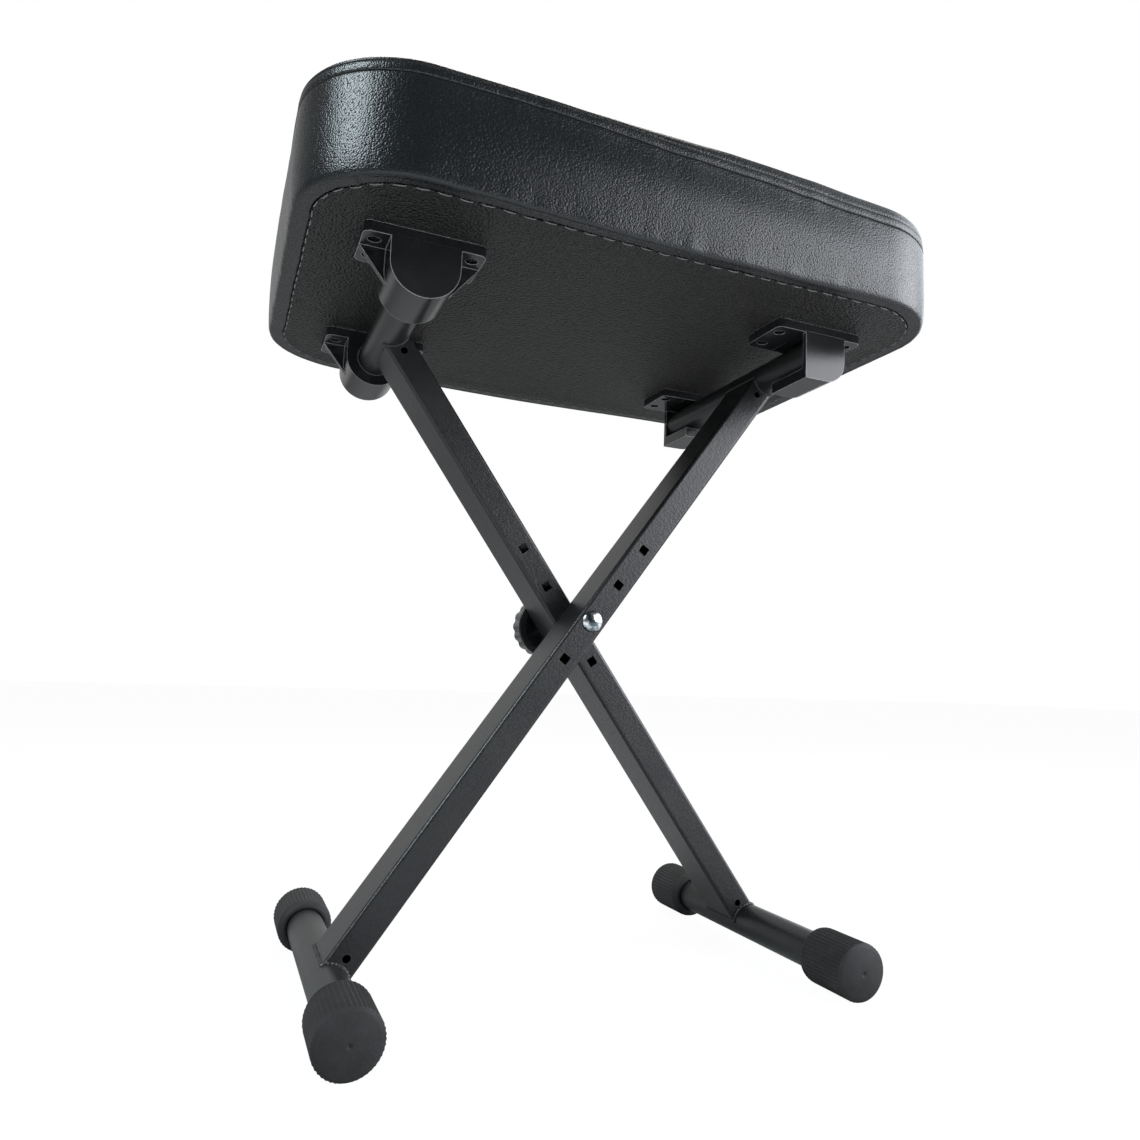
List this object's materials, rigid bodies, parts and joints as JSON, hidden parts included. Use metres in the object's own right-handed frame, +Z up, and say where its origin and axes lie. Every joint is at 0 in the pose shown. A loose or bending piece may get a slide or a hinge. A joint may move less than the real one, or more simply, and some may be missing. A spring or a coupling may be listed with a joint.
{
  "type": "folding keyboard bench",
  "caption": "Folding bench with a thick padded seat on two crossed legs, cross tubes with ribbed rubber foot caps, and a cross bolt with a hand knob.",
  "frame": {"origin": "on the floor, under the middle of the seat", "axes": "+X along the seat from the pivoted tube to the hooked tube, +Y from the bolt head to the knob, +Z up"},
  "size_m": [0.4552, 0.3548, 0.5516],
  "materials": {
    "leatherette": "pebbled, satin sheen",
    "underside_leatherette": "pebbled, dull",
    "foam": "open-cell, matte",
    "plywood": "raw",
    "bracket_plastic": "satin moulded",
    "powder_coat": "satin powder coat",
    "plug_plastic": "moulded",
    "rubber": "matte",
    "zinc": "bright zinc plate",
    "black_zinc": "black zinc plate",
    "nylon": "natural nylon",
    "knob_plastic": "satin moulded"
  },
  "bodies": {
    "rear_frame": {"rear_leg": "powder_coat", "cup_tube": "powder_coat", "cup_tube_plug_front": "plug_plastic", "cup_tube_plug_back": "plug_plastic", "right_base_tube": "powder_coat", "right_foot_cap_front": "rubber", "right_foot_cap_back": "rubber", "leg_spacer": "nylon", "knob_washer": "zinc"},
    "front_frame": {"front_leg": "powder_coat", "hook_tube": "powder_coat", "hook_tube_plug_front": "plug_plastic", "hook_tube_plug_back": "plug_plastic", "left_base_tube": "powder_coat", "left_foot_cap_front": "rubber", "left_foot_cap_back": "rubber", "pivot_bolt": "zinc"},
    "knob": {"knob_body": "knob_plastic", "knob_insert": "zinc"},
    "seat": {"seat_underside_cover": "underside_leatherette", "seat_board": "plywood", "seat_foam": "foam", "seat_side_band": "leatherette", "seat_top_cover": "leatherette", "cup_bracket_front": "bracket_plastic", "cup_bracket_back": "bracket_plastic", "hook_bracket_front": "bracket_plastic", "hook_bracket_back": "bracket_plastic", "cup_bracket_front_screw_1": "black_zinc", "cup_bracket_front_screw_2": "black_zinc", "cup_bracket_front_screw_3": "black_zinc", "cup_bracket_front_screw_4": "black_zinc", "cup_bracket_back_screw_1": "black_zinc", "cup_bracket_back_screw_2": "black_zinc", "cup_bracket_back_screw_3": "black_zinc", "cup_bracket_back_screw_4": "black_zinc", "hook_bracket_front_screw_1": "black_zinc", "hook_bracket_front_screw_2": "black_zinc", "hook_bracket_front_screw_3": "black_zinc", "hook_bracket_front_screw_4": "black_zinc", "hook_bracket_back_screw_1": "black_zinc", "hook_bracket_back_screw_2": "black_zinc", "hook_bracket_back_screw_3": "black_zinc", "hook_bracket_back_screw_4": "black_zinc"}
  },
  "joints": [
    {"name": "leg_fold", "type": "hinge", "parent": "rear_frame", "child": "front_frame", "pos_m": [0, 0, 0.24737], "axis": [0, -1, 0], "range_deg": [0, 60]},
    {"name": "seat_tilt", "type": "hinge", "parent": "rear_frame", "child": "seat", "pos_m": [-0.14634, 0, 0.45252], "axis": [0, -1, 0], "range_deg": [0, 30]},
    {"name": "knob_turn", "type": "hinge", "parent": "front_frame", "child": "knob", "pos_m": [0, 0.053, 0.24737], "axis": [0, 1, 0], "continuous": true}
  ],
  "couplings": [
    {"joint": "seat_tilt", "follows": "leg_fold", "ratio": 0.5}
  ]
}
